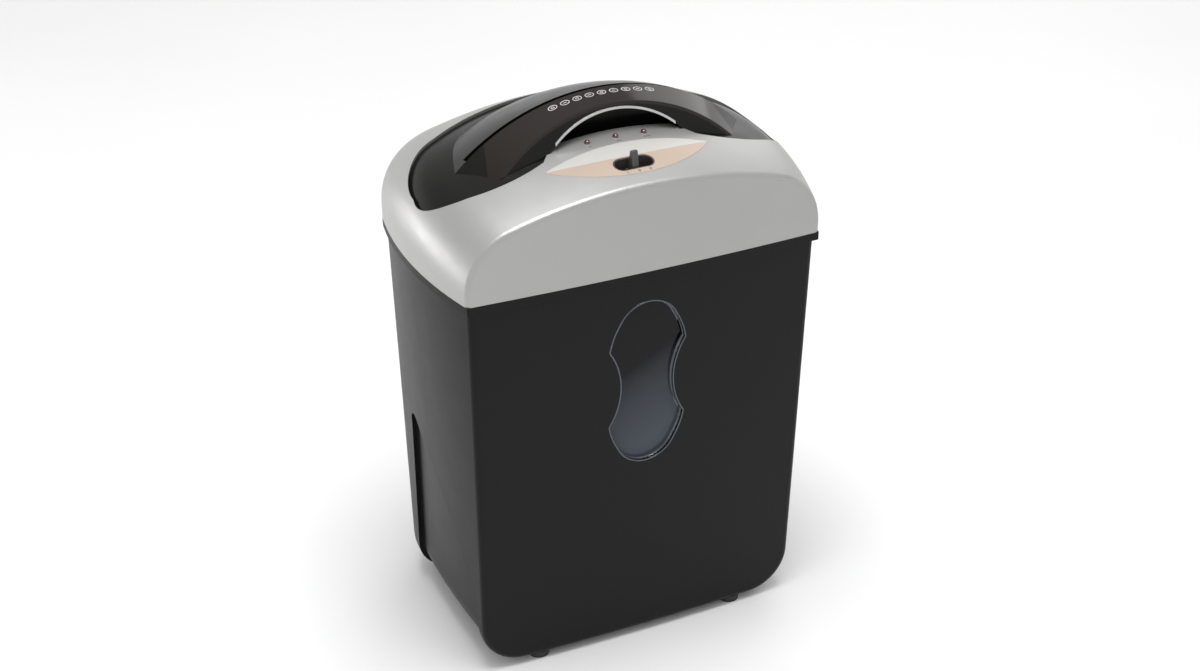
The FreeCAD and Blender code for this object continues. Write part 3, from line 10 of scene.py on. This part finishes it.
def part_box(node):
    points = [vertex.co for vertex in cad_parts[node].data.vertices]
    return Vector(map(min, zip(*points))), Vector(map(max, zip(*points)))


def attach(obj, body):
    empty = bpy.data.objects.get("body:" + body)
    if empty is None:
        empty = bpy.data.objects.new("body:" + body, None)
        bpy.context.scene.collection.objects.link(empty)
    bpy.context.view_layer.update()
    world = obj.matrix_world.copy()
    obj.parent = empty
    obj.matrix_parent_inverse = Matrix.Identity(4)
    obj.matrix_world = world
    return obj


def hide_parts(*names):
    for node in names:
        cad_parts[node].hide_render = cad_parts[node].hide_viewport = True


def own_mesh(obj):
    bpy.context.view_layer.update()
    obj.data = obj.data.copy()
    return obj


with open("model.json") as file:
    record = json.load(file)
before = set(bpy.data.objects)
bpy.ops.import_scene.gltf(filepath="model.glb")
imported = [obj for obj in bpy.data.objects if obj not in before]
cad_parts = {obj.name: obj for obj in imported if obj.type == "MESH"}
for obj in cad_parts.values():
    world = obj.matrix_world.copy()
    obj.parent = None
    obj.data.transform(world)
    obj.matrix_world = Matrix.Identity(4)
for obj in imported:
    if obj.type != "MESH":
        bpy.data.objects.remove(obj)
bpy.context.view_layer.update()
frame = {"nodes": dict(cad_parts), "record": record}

MM = 0.001
RAY_TOP = 0.6
RAY_FRONT = -0.3
MARK_LIFT = 0.12
GUARD_MARK_Y = -26.8
GUARD_MARK_STEP = 10.5
DIGIT_Y = -98.2
LENS_MARK_Y = -57.0


# ---------------------------------------------------------------- material helpers

class Surface:
    """A node material built round one Principled shader."""

    def __init__(self, name):
        self.mat = bpy.data.materials.new(name)
        self.mat.use_nodes = True
        self.tree = self.mat.node_tree
        self.shader = self.tree.nodes["Principled BSDF"]
        self.coords = self.tree.nodes.new("ShaderNodeTexCoord")

    def set(self, **values):
        """Constants on the shader's own sockets; underscores stand for spaces."""
        for key, value in values.items():
            self.shader.inputs[key.replace("_", " ")].default_value = value
        return self

    def link(self, source, socket):
        self.tree.links.new(source, socket)

    def new(self, kind, **props):
        made = self.tree.nodes.new(kind)
        for key, value in props.items():
            setattr(made, key, value)
        return made

    def noise(self, scale, detail=4.0, rough=0.55, stretch=(1, 1, 1)):
        """Noise over object coordinates in metres, stretched along an axis for brushed looks."""
        mapping = self.new("ShaderNodeMapping")
        mapping.inputs["Scale"].default_value = stretch
        self.link(self.coords.outputs["Object"], mapping.inputs["Vector"])
        tex = self.new("ShaderNodeTexNoise")
        tex.inputs["Scale"].default_value = scale
        tex.inputs["Detail"].default_value = detail
        tex.inputs["Roughness"].default_value = rough
        self.link(mapping.outputs["Vector"], tex.inputs["Vector"])
        return tex.outputs["Fac"]

    def ramp(self, fac, stops):
        """Colour ramp with (position, grey or colour) stops."""
        ramp = self.new("ShaderNodeValToRGB")
        elements = ramp.color_ramp.elements
        while len(elements) < len(stops):
            elements.new(0.5)
        for element, (place, colour) in zip(elements, stops):
            element.position = place
            element.color = (colour, colour, colour, 1) if isinstance(colour, float) else (*colour, 1)
        self.link(fac, ramp.inputs["Fac"])
        return ramp.outputs["Color"]

    def spread(self, fac, low, high):
        """Maps a noise factor to a narrow range of values."""
        span = self.new("ShaderNodeMapRange")
        span.inputs["From Min"].default_value = 0.3
        span.inputs["From Max"].default_value = 0.7
        span.inputs["To Min"].default_value = low
        span.inputs["To Max"].default_value = high
        self.link(fac, span.inputs["Value"])
        return span.outputs["Result"]

    def tone(self, fac, dark, light):
        """Base colour that wanders between two near colours."""
        self.link(self.ramp(fac, [(0.32, dark), (0.68, light)]), self.shader.inputs["Base Color"])
        return self

    def rough(self, fac, low, high):
        self.link(self.spread(fac, low, high), self.shader.inputs["Roughness"])
        return self

    def relief(self, *layers, edge=0.0):
        """Stacks bump layers of (factor, depth in metres) over a rounded-edge normal."""
        normal = None
        if edge:
            bevel = self.new("ShaderNodeBevel", samples=4)
            bevel.inputs["Radius"].default_value = edge
            normal = bevel.outputs["Normal"]
        for fac, depth in layers:
            bump = self.new("ShaderNodeBump")
            bump.inputs["Strength"].default_value = 1.0
            bump.inputs["Distance"].default_value = depth
            self.link(fac, bump.inputs["Height"])
            if normal:
                self.link(normal, bump.inputs["Normal"])
            normal = bump.outputs["Normal"]
        self.link(normal, self.shader.inputs["Normal"])
        return self


def plastic(name, dark, light, low, high, grain=0.000012, scale=2600.0, edge=0.0005, **values):
    """Moulded plastic with fine grain, slight tone change and handling marks in the gloss."""
    skin = Surface(name)
    skin.tone(skin.noise(7.0, 5.0), dark, light)
    skin.rough(skin.noise(38.0, 8.0, 0.65), low, high)
    skin.relief((skin.noise(scale, 2.0), grain), (skin.noise(26.0, 3.0), 0.000012), edge=edge)
    return skin.set(**values)


def metal(name, dark, light, low, high, stretch, edge=0.0003, metallic=1.0):
    """Machined or rolled metal with fine lines along one direction."""
    skin = Surface(name)
    lines = skin.noise(900.0, 4.0, 0.6, stretch)
    skin.tone(skin.noise(60.0, 5.0), dark, light)
    skin.rough(lines, low, high)
    skin.relief((lines, 0.000006), edge=edge)
    return skin.set(Metallic=metallic)


def silver_paint():
    """Satin metallic paint over plastic: warm grey with very fine flakes."""
    skin = Surface("silver_paint")
    flakes = skin.new("ShaderNodeTexVoronoi")
    flakes.inputs["Scale"].default_value = 3800.0
    skin.link(skin.coords.outputs["Object"], flakes.inputs["Vector"])
    base = skin.ramp(skin.noise(5.0, 4.0), [(0.3, (0.40, 0.398, 0.388)), (0.7, (0.435, 0.433, 0.423))])
    mix = skin.new("ShaderNodeMix", data_type="RGBA", blend_type="MULTIPLY")
    mix.inputs["Factor"].default_value = 0.16
    skin.link(base, mix.inputs["A"])
    skin.link(skin.ramp(flakes.outputs["Color"], [(0.0, 0.62), (1.0, 1.0)]), mix.inputs["B"])
    skin.link(mix.outputs["Result"], skin.shader.inputs["Base Color"])
    skin.rough(skin.noise(32.0, 8.0, 0.65), 0.36, 0.44)
    skin.relief((skin.noise(3200.0, 2.0), 0.000009), (skin.noise(22.0, 3.0), 0.00002), edge=0.0006)
    return skin.set(Metallic=0.55, Coat_Weight=0.15, Coat_Roughness=0.3)


def smoked(name, colour, transmission, low, high):
    """Tinted clear plastic with faint moulding flow and wipe marks."""
    skin = Surface(name)
    skin.tone(skin.noise(6.0, 3.0), colour, tuple(c * 1.12 for c in colour))
    skin.rough(skin.noise(45.0, 8.0, 0.7), low, high)
    skin.relief((skin.noise(18.0, 2.0), 0.00002))
    return skin.set(Transmission_Weight=transmission, IOR=1.49)


def sight_window_painted_reflection():
    """Smoked acrylic whose colour carries a painted reflection: near black above, turning blue-grey towards
    the bottom.
    """
    skin = smoked("window_smoke", (0.02, 0.025, 0.036), 0.25, 0.05, 0.09)
    split = skin.new("ShaderNodeSeparateXYZ")
    skin.link(skin.coords.outputs["Generated"], split.inputs["Vector"])
    painted_reflection_slant = skin.new("ShaderNodeMath", operation="MULTIPLY_ADD")
    painted_reflection_slant.inputs[1].default_value = -0.22
    skin.link(split.outputs["X"], painted_reflection_slant.inputs[0])
    skin.link(split.outputs["Z"], painted_reflection_slant.inputs[2])
    # painted reflection: blue-grey low on the lens fading to near black higher up, colour standing in for
    # what the lens reflects
    stops = [(0.0, (0.075, 0.092, 0.112)), (0.28, (0.05, 0.06, 0.075)), (0.42, (0.028, 0.032, 0.040)),
             (0.52, (0.003, 0.003, 0.005)), (0.85, (0.0015, 0.0015, 0.003))]
    skin.link(skin.ramp(painted_reflection_slant.outputs["Value"], stops), skin.shader.inputs["Base Color"])
    return skin.set(Specular_IOR_Level=0.12)


def circuit_board():
    """Solder mask with faint copper runs under it."""
    skin = Surface("circuit_board")
    wave = skin.new("ShaderNodeTexBrick")
    wave.inputs["Scale"].default_value = 160.0
    wave.inputs["Mortar Size"].default_value = 0.06
    wave.inputs["Color1"].default_value = (0.015, 0.11, 0.045, 1)
    wave.inputs["Color2"].default_value = (0.02, 0.14, 0.06, 1)
    wave.inputs["Mortar"].default_value = (0.06, 0.26, 0.11, 1)
    skin.link(skin.coords.outputs["Object"], wave.inputs["Vector"])
    skin.link(wave.outputs["Color"], skin.shader.inputs["Base Color"])
    skin.rough(skin.noise(90.0), 0.25, 0.4)
    skin.relief((wave.outputs["Fac"], 0.00004))
    return skin


def make_materials():
    """Every surface by its material slot."""
    return {
        "bin_plastic": plastic(
            "bin_black", (0.0064, 0.0066, 0.0068), (0.0072, 0.0074, 0.0076), 0.37, 0.41, grain=0.00002,
            scale=1500.0, edge=0.0008, Specular_IOR_Level=0.16),
        "base_plastic": plastic(
            "base_black", (0.006, 0.006, 0.006), (0.008, 0.008, 0.008), 0.38, 0.5,
            Specular_IOR_Level=0.16),
        "silver_plastic": silver_paint(),
        "throat_plastic": plastic(
            "throat_black", (0.005, 0.0046, 0.0042), (0.0065, 0.006, 0.0055), 0.18, 0.28,
            grain=0.000005, Specular_IOR_Level=0.2),
        "guard_smoke": smoked(
            "guard_smoke", (0.014, 0.0095, 0.007), 0.3, 0.1, 0.16).set(Specular_IOR_Level=0.3),
        "window_smoke": sight_window_painted_reflection(),
        "trim_bright": metal("trim_bright", (0.52, 0.52, 0.52), (0.6, 0.6, 0.6), 0.2, 0.3, (1, 30, 30)),
        "leaf_light": plastic(
            "leaf_light", (0.52, 0.515, 0.49), (0.57, 0.565, 0.54), 0.32, 0.42, grain=0.000004,
            Metallic=0.15),
        "leaf_warm": plastic(
            "leaf_warm", (0.47, 0.37, 0.295), (0.53, 0.42, 0.335), 0.32, 0.42, grain=0.000004,
            Metallic=0.15),
        "led_red": plastic(
            "led_red", (0.06, 0.003, 0.006), (0.09, 0.005, 0.009), 0.03, 0.07, grain=0.000001,
            Transmission_Weight=0.1, Coat_Weight=1.0, Coat_IOR=1.8),
        "knob_grey": plastic("knob_grey", (0.055, 0.055, 0.056), (0.07, 0.07, 0.071), 0.24, 0.34),
        "bezel_grey": plastic("bezel_grey", (0.045, 0.04, 0.037), (0.058, 0.052, 0.048), 0.25, 0.36),
        "foot_rubber": plastic(
            "foot_rubber", (0.018, 0.018, 0.018), (0.028, 0.028, 0.028), 0.65, 0.8, grain=0.00003,
            scale=1400.0),
        "steel": metal("steel", (0.47, 0.475, 0.48), (0.6, 0.605, 0.61), 0.22, 0.38, (1, 14, 14)),
        "zinc_plate": metal(
            "zinc_plate", (0.44, 0.45, 0.44), (0.56, 0.57, 0.55), 0.34, 0.5, (1, 1, 5), metallic=0.9),
        "bronze": metal("bronze", (0.42, 0.27, 0.12), (0.56, 0.38, 0.19), 0.4, 0.55, (1, 2, 2)),
        "nylon": plastic(
            "nylon", (0.66, 0.64, 0.56), (0.74, 0.72, 0.64), 0.42, 0.55, Subsurface_Weight=0.1),
        "motor_steel": metal(
            "motor_steel", (0.13, 0.135, 0.14), (0.19, 0.195, 0.2), 0.36, 0.5, (1, 8, 8), metallic=0.7),
        "board_green": circuit_board(),
        "print_white": plastic(
            "print_white", (0.8, 0.79, 0.77), (0.86, 0.85, 0.83), 0.45, 0.55, grain=0.000002, edge=0.0),
        "print_dark": plastic(
            "print_dark", (0.035, 0.03, 0.028), (0.05, 0.042, 0.04), 0.45, 0.55, grain=0.000002,
            edge=0.0),
        "rim_clear": metal(
            "rim_clear", (0.075, 0.085, 0.1), (0.1, 0.11, 0.13), 0.14, 0.22, (1, 1, 1), edge=0.0,
            metallic=0.25),
        "part_black": plastic("part_black", (0.02, 0.02, 0.021), (0.035, 0.035, 0.036), 0.4, 0.55),
    }


MATERIALS = make_materials()


def dress_nodes():
    """Gives every CAD node the surface of its slot."""
    slots = {entry["node"]: entry["material_slot"] for entry in frame["record"]["subparts"]}
    for name, obj in frame["nodes"].items():
        obj.data.materials.clear()
        obj.data.materials.append(MATERIALS[slots[name]].mat)


# ---------------------------------------------------------------- printed marks and rims

def node_tree(node):
    """Ray-casting tree of a CAD node in the row frame."""
    obj = frame["nodes"][node]
    points = [obj.matrix_world @ vertex.co for vertex in obj.data.vertices]
    return BVHTree.FromPolygons(points, [face.vertices[:] for face in obj.data.polygons])


def make_piece(name, mesh_data, material, body):
    """Mesh object from bmesh data with its surface and the body it rides on."""
    mesh = bpy.data.meshes.new(name)
    mesh_data.to_mesh(mesh)
    mesh_data.free()
    mesh.materials.append(MATERIALS[material].mat)
    piece = bpy.data.objects.new(name, mesh)
    bpy.context.scene.collection.objects.link(piece)
    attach(piece, body)
    return piece


def stroke(into, tree, path, width, closed=False):
    """Lays a flat ribbon along a plan path in millimetres on the surface below it."""
    count = len(path)
    rows = []
    for index, point in enumerate(path):
        before = path[(index - 1) % count] if closed or index else point
        after = path[(index + 1) % count] if closed or index < count - 1 else point
        along = (Vector(after) - Vector(before)).normalized()
        across = Vector((-along.y, along.x)) * width / 2
        row = []
        for side in (-1, 1):
            place = Vector(point) + across * side
            above = Vector((place.x * MM, place.y * MM, RAY_TOP))
            hit, normal, _, _ = tree.ray_cast(above, Vector((0, 0, -1)))
            row.append(into.verts.new(hit + normal * MARK_LIFT * MM))
        rows.append(row)
    pairs = zip(rows, rows[1:] + rows[:1]) if closed else zip(rows, rows[1:])
    for (a, b), (c, d) in pairs:
        into.faces.new((a, c, d, b))


def oval(centre, half_x, half_y, tilt=0.0, steps=28):
    """Plan points of an oval turned by tilt radians."""
    turn = Matrix.Rotation(tilt, 2)
    points = []
    for index in range(steps):
        angle = 2 * math.pi * index / steps
        points.append(Vector(centre) + turn @ Vector((half_x * math.cos(angle), half_y * math.sin(angle))))
    return points


def make_guard_marks():
    """Row of nine small plain marks along the guard's crown."""
    tree = node_tree("slot_guard")
    marks = bmesh.new()
    for index in range(9):
        x = -44.0 + GUARD_MARK_STEP * index
        y = GUARD_MARK_Y
        stroke(marks, tree, oval((x, y), 3.6, 2.3), 0.42, closed=True)
        if index % 2:
            stroke(marks, tree, [Vector((x - 1.6 + 0.4 * step, y)) for step in range(9)], 0.45)
        else:
            stroke(marks, tree, oval((x, y), 1.3, 0.8, steps=16), 0.36, closed=True)
    make_piece("guard_marks", marks, "print_white", "head")


DIGIT_PATHS = {
    "0": [(0, 0), (1, 0), (1, 2), (0, 2), (0, 0)],
    "1": [(0.5, 0), (0.5, 2), (0.1, 1.6)],
    "2": [(0, 2), (1, 2), (1, 1), (0, 1), (0, 0), (1, 0)],
}


def make_digits():
    """Small digits under the three places of the switch."""
    tree = node_tree("leaf_lower")
    marks = bmesh.new()
    for digit, centre in (("1", -12.6), ("0", -3.0), ("2", 6.6)):
        path = [(centre - 0.6 + 1.2 * u, DIGIT_Y + 1.1 * v) for u, v in DIGIT_PATHS[digit]]
        for start, end in zip(path, path[1:]):
            steps = [Vector(start).lerp(Vector(end), part / 3) for part in range(4)]
            stroke(marks, tree, steps, 0.36)
    make_piece("switch_digits", marks, "print_dark", "head")


def make_lens_marks():
    """One, two and three dark ticks in front of the indicator lenses."""
    tree = node_tree("top_cover")
    marks = bmesh.new()
    for amount, x in ((1, -25.5), (2, -1.0), (3, 23.5)):
        for index in range(amount):
            left = x - 1.1 * amount + 2.2 * index
            stroke(marks, tree, [Vector((left + 0.4 * step, LENS_MARK_Y)) for step in range(5)], 0.7)
    make_piece("lens_marks", marks, "print_dark", "head")


def window_outline():
    """Ordered outline of the sight window's front face in the row frame, from its CAD node."""
    obj = frame["nodes"]["bin_window"]
    data = bmesh.new()
    data.from_mesh(obj.data)
    data.transform(obj.matrix_world)
    bmesh.ops.remove_doubles(data, verts=data.verts, dist=1e-6)
    front = {face for face in data.faces if face.normal.y < -0.8}
    follow = {}
    for edge in data.edges:
        if len([face for face in edge.link_faces if face in front]) == 1:
            for vert, other in (edge.verts, reversed(edge.verts)):
                follow.setdefault(vert, []).append(other)
    start = max(follow, key=lambda vert: vert.co.z)
    loop, last, here = [start.co.copy()], start, follow[start][0]
    while here is not start:
        loop.append(here.co.copy())
        step = [vert for vert in follow[here] if vert is not last]
        last, here = here, step[0]
    data.free()
    return loop


def make_window_rim():
    """Thin bright chamfer that runs round the sight window's front edge."""
    loop = window_outline()
    count = len(loop)
    rim = bmesh.new()
    rows = []
    turns = zip(loop, loop[1:] + loop[:1])
    sense = 1 if sum(a.x * b.z - b.x * a.z for a, b in turns) > 0 else -1
    wall = node_tree("bin_body")
    profile = ((0.15, 0.05), (0.4, 0.45), (0.8, 0.55), (1.15, 0.4), (1.4, -0.05))
    for index, point in enumerate(loop):
        along = loop[(index + 1) % count] - loop[index - 1]
        out = Vector((along.z, 0, -along.x)).normalized() * sense
        edge = point + out * 1.5 * MM
        face = wall.ray_cast(Vector((edge.x, RAY_FRONT, edge.z)), Vector((0, 1, 0)))[0]
        row = [rim.verts.new(point - out * 1.2 * MM), rim.verts.new(point - out * 0.1 * MM)]
        for reach, rise in profile:
            place = point + out * reach * MM
            row.append(rim.verts.new((place.x, face.y - rise * MM, place.z)))
        rows.append(row)
    for row, after in zip(rows, rows[1:] + rows[:1]):
        for a, b, c, d in zip(row, row[1:], after[1:], after):
            rim.faces.new((a, b, c, d))
    bmesh.ops.recalc_face_normals(rim, faces=rim.faces)
    piece = make_piece("window_rim", rim, "rim_clear", "bin")
    for face in piece.data.polygons:
        face.use_smooth = True


def make_interlock_spring():
    """Coiled steel spring of fixed length that fills the interlock spring's box in place of the hidden CAD
    spring.
    """
    low, high = (Vector(corner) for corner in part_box("interlock_spring"))
    centre = (low + high) / 2
    wire, turns, ring = 0.45 * MM, 5, 12
    coil = (high.x - low.x) / 2 - wire
    steps = 32 * turns
    data = bmesh.new()
    rows = []
    for step in range(steps + 1):
        angle = 2 * math.pi * turns * step / steps
        out = Vector((math.cos(angle), math.sin(angle), 0))
        middle = centre + out * coil
        middle.z = low.z + wire + (high.z - low.z - 2 * wire) * step / steps
        row = []
        for part in range(ring):
            turn = 2 * math.pi * part / ring
            around = out * math.cos(turn) + Vector((0, 0, math.sin(turn)))
            row.append(data.verts.new(middle + around * wire))
        rows.append(row)
    for row, after in zip(rows, rows[1:]):
        for part in range(ring):
            nxt = (part + 1) % ring
            data.faces.new((row[part], row[nxt], after[nxt], after[part]))
    data.faces.new(rows[0])
    data.faces.new(reversed(rows[-1]))
    bmesh.ops.recalc_face_normals(data, faces=data.faces)
    piece = make_piece("coil_spring", data, "steel", "head")
    for face in piece.data.polygons:
        face.use_smooth = True
    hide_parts("interlock_spring")
    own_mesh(piece)


# ---------------------------------------------------------------- stage

def make_floor():
    """Plain pale floor that runs to the horizon."""
    grid = bmesh.new()
    bmesh.ops.create_grid(grid, x_segments=2, y_segments=2, size=14.0)
    mesh = bpy.data.meshes.new("floor")
    grid.to_mesh(mesh)
    grid.free()
    floor = bpy.data.objects.new("floor", mesh)
    bpy.context.scene.collection.objects.link(floor)
    skin = Surface("floor_pale")
    skin.tone(skin.noise(2.0), (0.93, 0.93, 0.93), (0.95, 0.95, 0.95))
    skin.rough(skin.noise(6.0), 0.7, 0.8)
    mesh.materials.append(skin.mat)


def area_light(name, place, target, size, power):
    """Rectangular soft light at place that faces target."""
    data = bpy.data.lights.new(name, "AREA")
    data.shape = "RECTANGLE"
    data.size, data.size_y = size
    data.energy = power
    lamp = bpy.data.objects.new(name, data)
    lamp.location = place
    lamp.rotation_mode = "QUATERNION"
    lamp.rotation_quaternion = (Vector(target) - Vector(place)).to_track_quat("-Z", "Y")
    bpy.context.scene.collection.objects.link(lamp)


def make_lights():
    """Soft studio light: key above, low panel behind on the left, one behind on the right, pale surround."""
    middle = (0, 0, 0.25)
    area_light("key_top", (-0.1, -0.25, 2.0), (0, 0, 0.4), (0.9, 0.9), 20)
    area_light("side_left", (-1.5, 1.25, 0.2), (-0.16, 0.05, 0.1), (1.2, 0.4), 6)
    area_light("back_right", (1.5, 1.6, 1.4), middle, (1.2, 1.2), 5)
    world = bpy.data.worlds.new("studio")
    world.use_nodes = True
    tree = world.node_tree
    coords = tree.nodes.new("ShaderNodeTexCoord")
    split = tree.nodes.new("ShaderNodeSeparateXYZ")
    ramp = tree.nodes.new("ShaderNodeValToRGB")
    tree.links.new(coords.outputs["Generated"], split.inputs["Vector"])
    tree.links.new(split.outputs["Z"], ramp.inputs["Fac"])
    stops = ((0.0, 0.98), (0.12, 0.94), (0.35, 0.46), (0.7, 0.56), (1.0, 1.0))
    while len(ramp.color_ramp.elements) < len(stops):
        ramp.color_ramp.elements.new(0.5)
    for element, (place, grey) in zip(ramp.color_ramp.elements, stops):
        element.position = place
        element.color = (grey, grey, grey, 1)
    tree.links.new(ramp.outputs["Color"], tree.nodes["Background"].inputs["Color"])
    tree.nodes["Background"].inputs["Strength"].default_value = 1.08
    bpy.context.scene.world = world
    bpy.context.scene.view_settings.view_transform = "Standard"


def make_camera():
    """Camera in front on the left, looking a little down."""
    azimuth, elevation = math.radians(-25.253), math.radians(29.302)
    target, distance = Vector((0.0089, -0.001, 0.240)), 1.7059
    back = Vector((math.sin(azimuth) * math.cos(elevation), -math.cos(azimuth) * math.cos(elevation),
                   math.sin(elevation)))
    data = bpy.data.cameras.new("camera")
    data.lens = 60.0
    data.sensor_width = 36.0
    camera = bpy.data.objects.new("camera", data)
    camera.location = target + back * distance
    camera.rotation_mode = "QUATERNION"
    camera.rotation_quaternion = (-back).to_track_quat("-Z", "Y")
    bpy.context.scene.collection.objects.link(camera)
    bpy.context.scene.camera = camera


dress_nodes()
make_guard_marks()
make_digits()
make_lens_marks()
make_window_rim()
make_interlock_spring()
make_floor()
make_lights()
make_camera()
